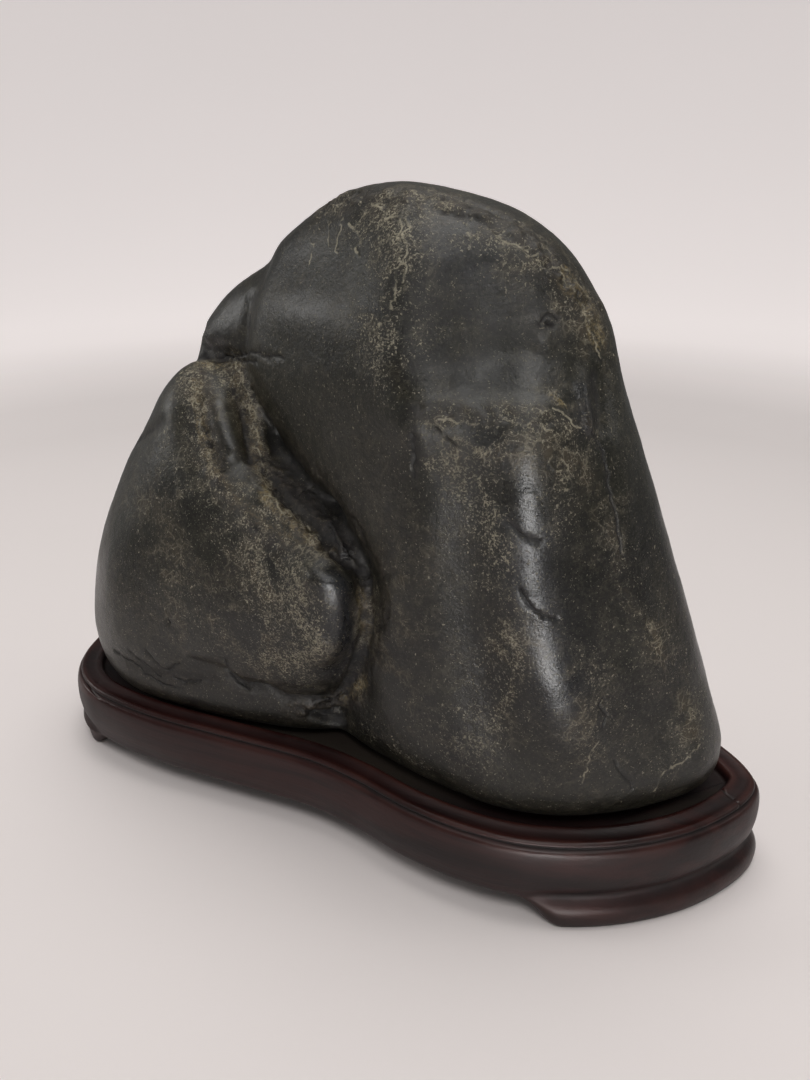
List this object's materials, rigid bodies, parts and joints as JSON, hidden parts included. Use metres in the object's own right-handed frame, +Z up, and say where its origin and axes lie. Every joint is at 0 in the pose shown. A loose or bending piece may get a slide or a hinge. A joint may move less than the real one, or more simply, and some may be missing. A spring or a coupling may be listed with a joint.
{
  "type": "scholars rock",
  "caption": "Dark polished mountain-shaped viewing stone with a high rounded peak and a lower hill, resting in the fitted seat of a low carved wooden stand on two feet.",
  "frame": {"origin": "on the ground under the middle of the stand", "axes": "+X along the stand towards the stone's high right-hand end, -Y towards the viewer of the display side, +Z up"},
  "size_m": [0.2648, 0.098, 0.2063],
  "materials": {
    "stone": "waxed and polished, near-black grey-green with pale scratches and ochre deposits",
    "stand": "dark reddish-brown stain under a satin wax, worn redder on its edges"
  },
  "bodies": {
    "root": {"stone": "stone", "stand": "stand"}
  },
  "joints": []
}
